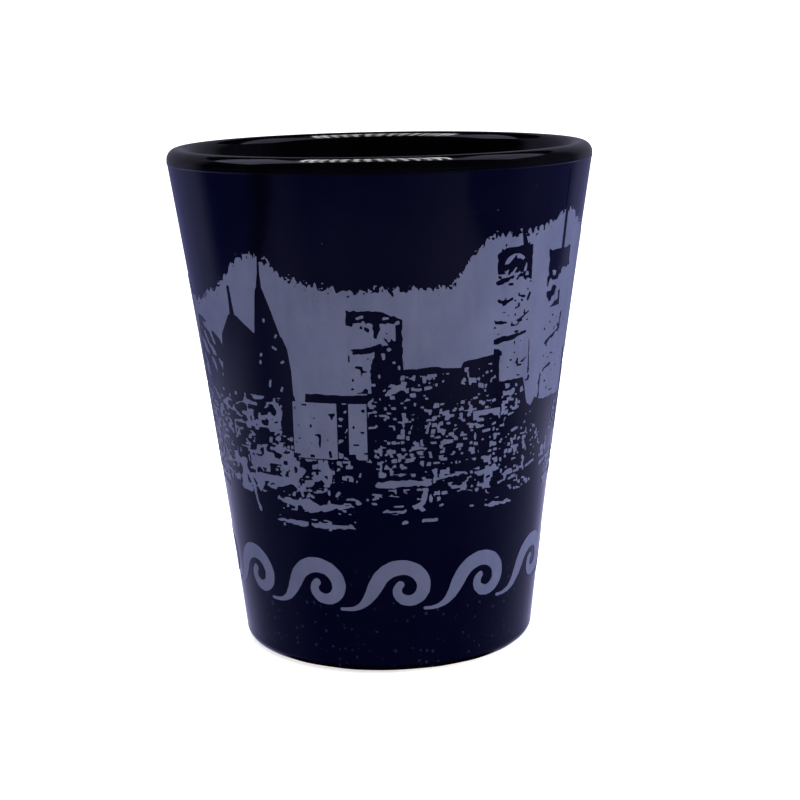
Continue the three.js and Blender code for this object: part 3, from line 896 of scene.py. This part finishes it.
# One wave crest, upright about x = 0: a tail that sweeps up into a tightening curl
TAIL_TIP = Vector((-5.4, 8))
CURL_POLE = Vector((2.05, 10.5))
CURL_REACH = 3.45
CURL_START = 165
CURL_TURN = 385
CURL_TIGHTEN = 0.2
CREST_WIDEST = 2
TAIL_TIP_WIDTH = 0.4
CURL_END_WIDTH = 0.9
TAIL_LEVEL = Vector((2.6, -0.2))  # where the tail is bent towards, from its tip
TAIL_PULL = 2.3  # how far back from the curl's start it is bent along the curl's heading
TAIL_STEPS = 16
CURL_STEPS = 56
CREST_PITCH = 360 / len(CRESTS)
CREST_MIDDLE = 11
CREST_LIMITS = (-6, 6, 6.8, 15)


def curl_point(share):
    turned = math.radians(CURL_TURN) * share
    angle = math.radians(CURL_START) - turned
    reach = CURL_REACH * math.exp(-CURL_TIGHTEN * turned)
    return CURL_POLE + reach * Vector((math.cos(angle), math.sin(angle)))


def bezier(t, start, first, second, end):
    u = 1 - t
    return start * u**3 + first * (3 * t * u**2) + second * (3 * t * t * u) + end * t**3


def crest_line():
    """The middle line of a crest and its width along it."""
    start = curl_point(0)
    heading = math.radians(CURL_START - 90) - math.atan(CURL_TIGHTEN)
    pull = start - TAIL_PULL * Vector((math.cos(heading), math.sin(heading)))
    points, widths = [], []
    for i in range(TAIL_STEPS):
        t = i / TAIL_STEPS
        points.append(bezier(t, TAIL_TIP, TAIL_TIP + TAIL_LEVEL, pull, start))
        share = 0.8 * t
        widths.append(TAIL_TIP_WIDTH + (CREST_WIDEST - TAIL_TIP_WIDTH) * share * share * (3 - 2 * share))
    swell = widths[-1]
    for i in range(CURL_STEPS + 1):
        t = i / CURL_STEPS
        points.append(curl_point(t))
        full = CREST_WIDEST + (swell - CREST_WIDEST) * max(0.0, 1 - 8 * t)
        widths.append(full + (CURL_END_WIDTH - full) * t)
    return [tuple(p) for p in points], widths


def make_crest(node):
    """One crest of the frieze, kept upright on the wall at its own node's place."""
    left, right, _, _ = sheet_limits(node)
    place = math.degrees(wall_angle((left + right) / 2, CREST_MIDDLE))
    centre = round(place / CREST_PITCH) * math.radians(CREST_PITCH)
    points, widths = crest_line()
    seed = 500 + CRESTS.index(node)

    def field(s, z):
        x, y = shaken(s, z, 0.025, 0.5, seed)
        return stroke(x, y, points, widths)

    def angle(s, z):
        return centre + np.arcsin(s / outer_radius(z))

    return film(node + "_film", field, *CREST_LIMITS, FINE_STEP, angle)


def make_mast_line():
    """The far slab's mast, which goes on above the sky's edge as a line of black."""

    def field(s, z):
        x = s + 0.04 * noise(s, z, 0.8, 0.8, 601)
        return stroke(x, z, [(25.52, 53.4), (25.92, 57.3)], [0.54, 0.44])

    return film("mast_line_film", field, 24.8, 26.6, 52.9, 57.7, FINE_STEP)


# ---- Materials ----

GLASS_IOR = 1.5
GRIT_TOP = 15  # kiln grit starts below this height
GRIT_FULL = 9  # and is thickest from here down


def linear(r, g, b):
    """A display colour, 0 to 255, as the shader's linear one."""
    shares = (c / 255 for c in (r, g, b))
    return tuple(c / 12.92 if c <= 0.04 else ((c + 0.055) / 1.055) ** 2.4 for c in shares) + (1.0,)


class Shader:
    """A material's node tree, with short ways to add what these materials need."""

    def __init__(self, name):
        self.material = bpy.data.materials.new(name)
        self.material.use_nodes = True
        self.tree = self.material.node_tree
        self.place = self.add("ShaderNodeTexCoord").outputs["Object"]

    def put(self, sockets, values):
        """Sets each socket to its value, or wires it to another node's socket."""
        for name, value in values.items():
            if isinstance(value, bpy.types.NodeSocket):
                self.tree.links.new(value, sockets[name])
            else:
                sockets[name].default_value = value

    def add(self, kind, values=None, **settings):
        node = self.tree.nodes.new(kind)
        for key, value in settings.items():
            setattr(node, key, value)
        self.put(node.inputs, values or {})
        return node

    def axes(self):
        return self.add("ShaderNodeSeparateXYZ", {"Vector": self.place}).outputs

    def stretched(self, scale):
        return self.add("ShaderNodeMapping", {"Vector": self.place, "Scale": scale}).outputs["Vector"]

    def noise(self, per_mm, detail=2.0, roughness=0.5, where=None):
        shape = {"Scale": per_mm / MM, "Detail": detail, "Roughness": roughness}
        return self.add("ShaderNodeTexNoise", {**shape, "Vector": where or self.place}).outputs["Fac"]

    def ramp(self, source, low, high, to_low=0.0, to_high=1.0):
        values = {"Value": source, "From Min": low, "From Max": high, "To Min": to_low, "To Max": to_high}
        return self.add("ShaderNodeMapRange", values).outputs["Result"]

    def smooth(self, *limits):
        share = self.ramp(*limits)
        share.node.interpolation_type = "SMOOTHSTEP"
        return share

    def math(self, operation, a, b):
        return self.add("ShaderNodeMath", {0: a, 1: b}, operation=operation).outputs[0]

    def total(self, *values):
        return reduce(lambda a, b: self.math("ADD", a, b), values)

    def product(self, *values):
        return reduce(lambda a, b: self.math("MULTIPLY", a, b), values)

    def belt(self, source, middle, reach):
        """1 at the middle, falling smoothly to 0 at reach on either side of it."""
        return self.smooth(self.math("ABSOLUTE", self.total(source, -middle), 0.0), reach, 0)

    def mix(self, share, a, b):
        """A mix of two colours, which have sockets 6, 7 and 2 of a mix node."""
        return self.add("ShaderNodeMix", {0: share, 6: a, 7: b}, data_type="RGBA").outputs[2]

    def specks(self, per_mm, share, size):
        """1 in small round specks, which only some cells of the pattern hold."""
        cells = self.add("ShaderNodeTexVoronoi", {"Scale": per_mm / MM, "Vector": self.place}).outputs
        chance = self.add("ShaderNodeSeparateColor", {"Color": cells["Color"]}).outputs
        chosen = self.ramp(chance["Red"], 1 - share, 1 - share + 0.001)
        width = self.ramp(chance["Green"], 0, 1, size * 0.4, size)
        return self.product(chosen, self.math("LESS_THAN", cells["Distance"], width))

    def glow(self, *parts):
        """Makes the material shine instead, with the sum of parts: a strength and a colour each."""
        shines = [self.add("ShaderNodeEmission", {"Strength": a, "Color": b}).outputs[0] for a, b in parts]
        shine = reduce(lambda a, b: self.add("ShaderNodeAddShader", {0: a, 1: b}).outputs[0], shines)
        self.put(self.tree.nodes["Material Output"].inputs, {"Surface": shine})
        self.material.cycles.emission_sampling = "NONE"
        return self.material

    def bump(self, height, depth_mm, strength=1.0, below=None):
        values = {"Distance": depth_mm * MM, "Strength": strength, "Height": height}
        if below:
            values["Normal"] = below
        return self.add("ShaderNodeBump", values).outputs["Normal"]

    def surface(self, values):
        self.put(self.tree.nodes["Principled BSDF"].inputs, values)
        return self.material

    def finish(self, colour, roughness, normal, specular=0.5):
        shape = {"Normal": normal, "IOR": GLASS_IOR, "Specular IOR Level": specular}
        return self.surface({"Base Color": colour, "Roughness": roughness, **shape})


def glaze(name, deep, thin, speck, speck_share, grit_share=0.0):
    """Glossy glaze: a colour that varies a little, dust specks, kiln grit near the foot and a soft skin."""
    m = Shader(name)
    cloud = m.ramp(m.noise(0.12, 4, 0.6), 0.35, 0.65)
    colour = m.mix(cloud, deep, thin)
    colour = m.mix(m.specks(1.1, speck_share, 0.12), colour, speck)
    if grit_share:
        near_foot = m.smooth(m.axes()["Z"], GRIT_TOP * MM, GRIT_FULL * MM)
        grit = m.product(m.specks(1.4, grit_share, 0.3), near_foot, 0.4)
        colour = m.mix(grit, colour, speck)
    roughness = m.ramp(m.noise(0.5, 3), 0.3, 0.7, 0.05, 0.1)
    skin = m.bump(m.noise(0.28, 2), 0.05, 0.25)
    normal = m.bump(m.noise(1.6, 2), 0.006, 0.25, skin)
    return m.finish(colour, roughness, normal)


def make_print_material():
    """Fired-on enamel: satin, a little mottled, with faint upright streaks, pits and a fine grain."""
    m = Shader("silver_print")
    cloud = m.ramp(m.noise(0.16, 4, 0.6), 0.35, 0.65)
    colour = m.mix(cloud, linear(63, 68, 96), linear(70, 75, 104))
    streak = m.ramp(m.noise(0.9, 2, 0.5, m.stretched((1, 1, 0.12))), 0.45, 0.75, 0.0, 0.35)
    colour = m.mix(streak, colour, linear(79, 83, 108))
    grain = m.noise(4.5, 2, 0.6)
    pits = m.ramp(grain, 0.3, 0.42, 0.45, 0.0)
    colour = m.mix(pits, colour, linear(49, 54, 77))
    roughness = m.ramp(m.noise(0.7, 3), 0.3, 0.7, 0.3, 0.42)
    normal = m.bump(grain, 0.01, 0.4)
    return m.finish(colour, roughness, normal, 0.9)


def make_stoneware():
    """The bare foot ring: pale matte clay with a sandy grain, iron specks and grey smudges of use."""
    m = Shader("stoneware")
    cloud = m.ramp(m.noise(0.2, 4, 0.6), 0.35, 0.7)
    colour = m.mix(cloud, linear(216, 209, 196), linear(196, 187, 172))
    smudge = m.ramp(m.noise(0.5, 5, 0.7), 0.55, 0.75, 0.0, 0.35)
    colour = m.mix(smudge, colour, linear(150, 145, 138))
    colour = m.mix(m.specks(1.6, 0.12, 0.16), colour, linear(98, 76, 60))
    sand = m.noise(3.2, 4, 0.7)
    roughness = m.ramp(sand, 0.3, 0.7, 0.72, 0.92)
    return m.finish(colour, roughness, m.bump(sand, 0.04, 0.6), 0.3)


def paint(piece, material):
    piece.data.materials.clear()
    piece.data.materials.append(material)


# ---- Build ----

COBALT = glaze("cobalt_glaze", linear(1, 1, 7), linear(2, 2, 10), linear(34, 36, 58), 0.06, 0.3)
BLACK = glaze("black_glaze", linear(1, 1, 2), linear(3, 3, 5), linear(26, 26, 30), 0.015)
SILVER = make_print_material()
STONEWARE = make_stoneware()


def fit(piece, material, slot, *nodes):
    """Gives a piece its material and its place in the assembly."""
    paint(piece, material)
    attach(piece, "root")
    if nodes:
        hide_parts(*nodes)


fit(make_clay(), STONEWARE, "stoneware", "ceramic_body")
fit(make_outer_glaze(), COBALT, "cobalt_glaze", "outer_glaze")
fit(make_liner(), BLACK, "black_glaze", "liner_glaze")
fit(make_well_glaze(), COBALT, "cobalt_glaze", "foot_well_glaze")

sky = film("sky_film", sky_field, -AROUND / 2 + 0.01, AROUND / 2 - 0.01, 30, 58.1)
fit(sky, SILVER, "silver_print", "sky_print")
for side, left, right in CITY_SIDES:
    fit(make_city(side, left, right), SILVER, "silver_print")
for name, limits in zip(FRONTS, FRONT_LIMITS):
    fit(make_front(name, limits), SILVER, "silver_print", name)
for name, limits in zip(STREAKS, STREAK_LIMITS):
    fit(make_streak(name, limits), SILVER, "silver_print", name)
for name in CRESTS:
    fit(make_crest(name), SILVER, "silver_print", name)
fit(make_mast_line(), BLACK, "black_glaze", "print_mast_line")

# ---- The stage: a white floor and surround, the lamps, and a tent whose dim glow the glazes reflect ----


WHITE = (1.0, 1.0, 1.0, 1.0)
OFF_WHITE = (0.99, 0.99, 0.99, 1.0)
LAVENDER = (1.0, 0.98, 1.4, 1.0)
PALE_LAVENDER = (0.95, 0.94, 1.3, 1.0)
DUSK = (0.014, 0.018, 0.15, 1.0)
SURROUND_GLOW = 1.2
FLOOR_GLOW = 0.4
FLOOR_HALF = 3000.0
FLOOR_DROP = 0.02
TENT_RADIUS = 300.0
TENT_LOW = -300.0
TENT_HIGH = 260.0
TENT_STEPS = 64

# Each ceiling panel's name, its two ends in X, and its glow
CEILING = [("ceiling_left", -86, -330, 0.9), ("ceiling_right", 80, 330, 0.62)]
CEILING_FRONT = -60
CEILING_BACK = 110
CEILING_HEIGHT = 250
LAMP_COUNT = 14
LAMP_ROW = (-5.2, 15.0, 250.0)  # its middle
LAMP_ROW_LENGTH = 151.0
LAMP_SIZE = (5.0, 130.0)
LAMP_FAN = 44.0  # the turn, in degrees, over the row's length
LAMP_GLOW = 8.0
LAMP_END_GLOW = 12.8  # of the two lamps at each end
SIDE_LIGHT = (530.0, 20.0, 90.0)
SIDE_LIGHT_SIZE = 250.0
SIDE_LIGHT_GLOW = 16.669


def make_floor():
    low, high, z = -FLOOR_HALF, FLOOR_HALF, -FLOOR_DROP
    corners = [(low, low, z), (high, low, z), (high, high, z), (low, high, z)]
    floor = new_object("floor", corners, [(0, 1, 2, 3)])
    m = Shader("floor")
    colour = m.mix(m.ramp(m.noise(0.01, 3), 0.4, 0.6), OFF_WHITE, WHITE)
    matte = {"Base Color": colour, "Roughness": 1.0, "Specular IOR Level": 0.0}
    paint(floor, m.surface({**matte, "Emission Color": WHITE, "Emission Strength": FLOOR_GLOW}))
    floor.visible_glossy = False


def make_world():
    world = bpy.data.worlds.new("surround")
    world.use_nodes = True
    background = world.node_tree.nodes["Background"].inputs
    background["Color"].default_value = WHITE
    background["Strength"].default_value = SURROUND_GLOW
    world.cycles_visibility.glossy = False
    scene.world = world


def tent_sides(m, angle, aside, height):
    """The side walls' glow, brighter towards the back, with a belt of light and a strip along the top."""
    rise = m.math("POWER", m.ramp(aside, 67, 181, 0, 1.5), 2.0)
    belt = m.product(m.smooth(aside, 76, 106), m.belt(height, -65, 34), 0.12)
    low = m.total(m.ramp(aside, 55, 75, 0, 0.03), m.product(rise, 0.27), belt)
    right_strip = m.total(m.ramp(angle, 68, 85, 0, 0.035), m.smooth(angle, 119, 134, 0, 0.11))
    strip = m.total(right_strip, m.smooth(angle, -100, -117, 0, 0.125))
    return m.total(m.product(low, m.smooth(height, -30, -70)), m.product(strip, m.smooth(height, -70, -30)))


def tent_front(m, angle, aside, height):
    """The front wall's glow, paler towards its sides, which lean outwards as they go down."""
    right = m.ramp(height, -50, -90, 47, 127)
    left = m.ramp(height, -43, -83, -57, -121)
    inside = m.math("MINIMUM", m.math("SUBTRACT", right, angle), m.math("SUBTRACT", angle, left))
    right_glow = m.smooth(angle, 5, 48, 0, 0.068)
    left_glow = m.smooth(angle, -36, -58, 0, 0.05)
    glow = m.total(right_glow, left_glow, m.smooth(height, -44, -68, 0, 0.042))
    ends = m.product(m.smooth(height, -140, -80), m.smooth(height, 50, 10))
    return m.product(glow, m.ramp(inside, -2, 3), m.ramp(aside, 76, 58), ends)


def tent_dusk(m, angle, height):
    """A dim blue glow everywhere but in the leaning corner between the front wall and the left one."""
    from_corner = m.total(angle, m.ramp(height, -40, -80, 0, 36))
    corner = m.product(m.belt(from_corner, -65, 12), m.smooth(height, -66, -50))
    return m.product(m.math("SUBTRACT", 1.0, corner), m.smooth(height, 50, 10))


def tent_material():
    """The tent's glow, by the angle round it from the front, in degrees, and the height, in millimetres."""
    m = Shader("tent")
    axes = m.axes()
    angle = m.product(m.math("ARCTAN2", axes["X"], m.product(axes["Y"], -1.0)), 180 / math.pi)
    aside = m.math("ABSOLUTE", angle, 0.0)
    height = m.product(axes["Z"], 1 / MM)
    clouds = m.ramp(m.noise(0.006, 2), 0.3, 0.7, 0.85, 1.15)
    walls = m.total(tent_sides(m, angle, aside, height), tent_front(m, angle, aside, height))
    return m.glow((m.product(walls, clouds), LAVENDER), (tent_dusk(m, angle, height), DUSK))


def for_reflections(piece, material):
    """Makes a stage piece that is only seen in glossy surfaces."""
    paint(piece, material)
    piece.visible_camera = False
    piece.visible_diffuse = False
    piece.visible_shadow = False


def make_tent():
    turns = [2 * math.pi * i / TENT_STEPS for i in range(TENT_STEPS)]
    ring = [(TENT_RADIUS * math.sin(a), -TENT_RADIUS * math.cos(a)) for a in turns]
    corners = [(x, y, TENT_LOW) for x, y in ring] + [(x, y, TENT_HIGH) for x, y in ring]
    pairs = [(i, (i + 1) % TENT_STEPS) for i in range(TENT_STEPS)]
    faces = [(i, j, j + TENT_STEPS, i + TENT_STEPS) for i, j in pairs]
    for_reflections(new_object("tent", corners, faces), tent_material())


def make_ceiling():
    """Two dim panels overhead, one beyond each end of the row of lamps."""
    for name, near, far, glow in CEILING:
        m = Shader(name)
        uneven = m.ramp(m.noise(0.008, 2), 0.3, 0.7, 0.8 * glow, 1.2 * glow)
        places = [(near, CEILING_FRONT), (far, CEILING_FRONT), (far, CEILING_BACK), (near, CEILING_BACK)]
        corners = [(x, y, CEILING_HEIGHT) for x, y in places]
        for_reflections(new_object(name, corners, [(0, 1, 2, 3)]), m.glow((uneven, PALE_LAVENDER)))


def area_light(name, width, depth, glow):
    """A lamp that the camera doesn't see, its glow given per unit of its area. Sizes in millimetres."""
    light = bpy.data.lights.new(name, "AREA")
    light.shape = "RECTANGLE"
    light.size, light.size_y = width * MM, depth * MM
    light.energy = glow * math.pi * light.size * light.size_y
    lamp = bpy.data.objects.new(name, light)
    scene.collection.objects.link(lamp)
    lamp.visible_camera = False
    return lamp


def make_lamps():
    """A row of long narrow lamps overhead, from left to right, fanned out a little."""
    middle, y, z = LAMP_ROW
    for i in range(LAMP_COUNT):
        glow = LAMP_GLOW if 1 < i < LAMP_COUNT - 2 else LAMP_END_GLOW
        lamp = area_light(f"lamp_{i + 1:02d}", *LAMP_SIZE, glow)
        share = (i - (LAMP_COUNT - 1) / 2) / LAMP_COUNT
        lamp.location = Vector((middle + share * LAMP_ROW_LENGTH, y, z)) * MM
        lamp.rotation_euler.z = math.radians(LAMP_FAN) * share


def make_side_light():
    """A soft light from the right, which shows as no highlight."""
    lamp = area_light("side_light", SIDE_LIGHT_SIZE, SIDE_LIGHT_SIZE, SIDE_LIGHT_GLOW)
    place = Vector(SIDE_LIGHT) * MM
    lamp.matrix_world = Matrix.Translation(place) @ place.to_track_quat("Z", "Y").to_matrix().to_4x4()
    lamp.visible_glossy = False


make_floor()
make_world()
make_tent()
make_ceiling()
make_lamps()
make_side_light()
scene.view_settings.view_transform = "Standard"
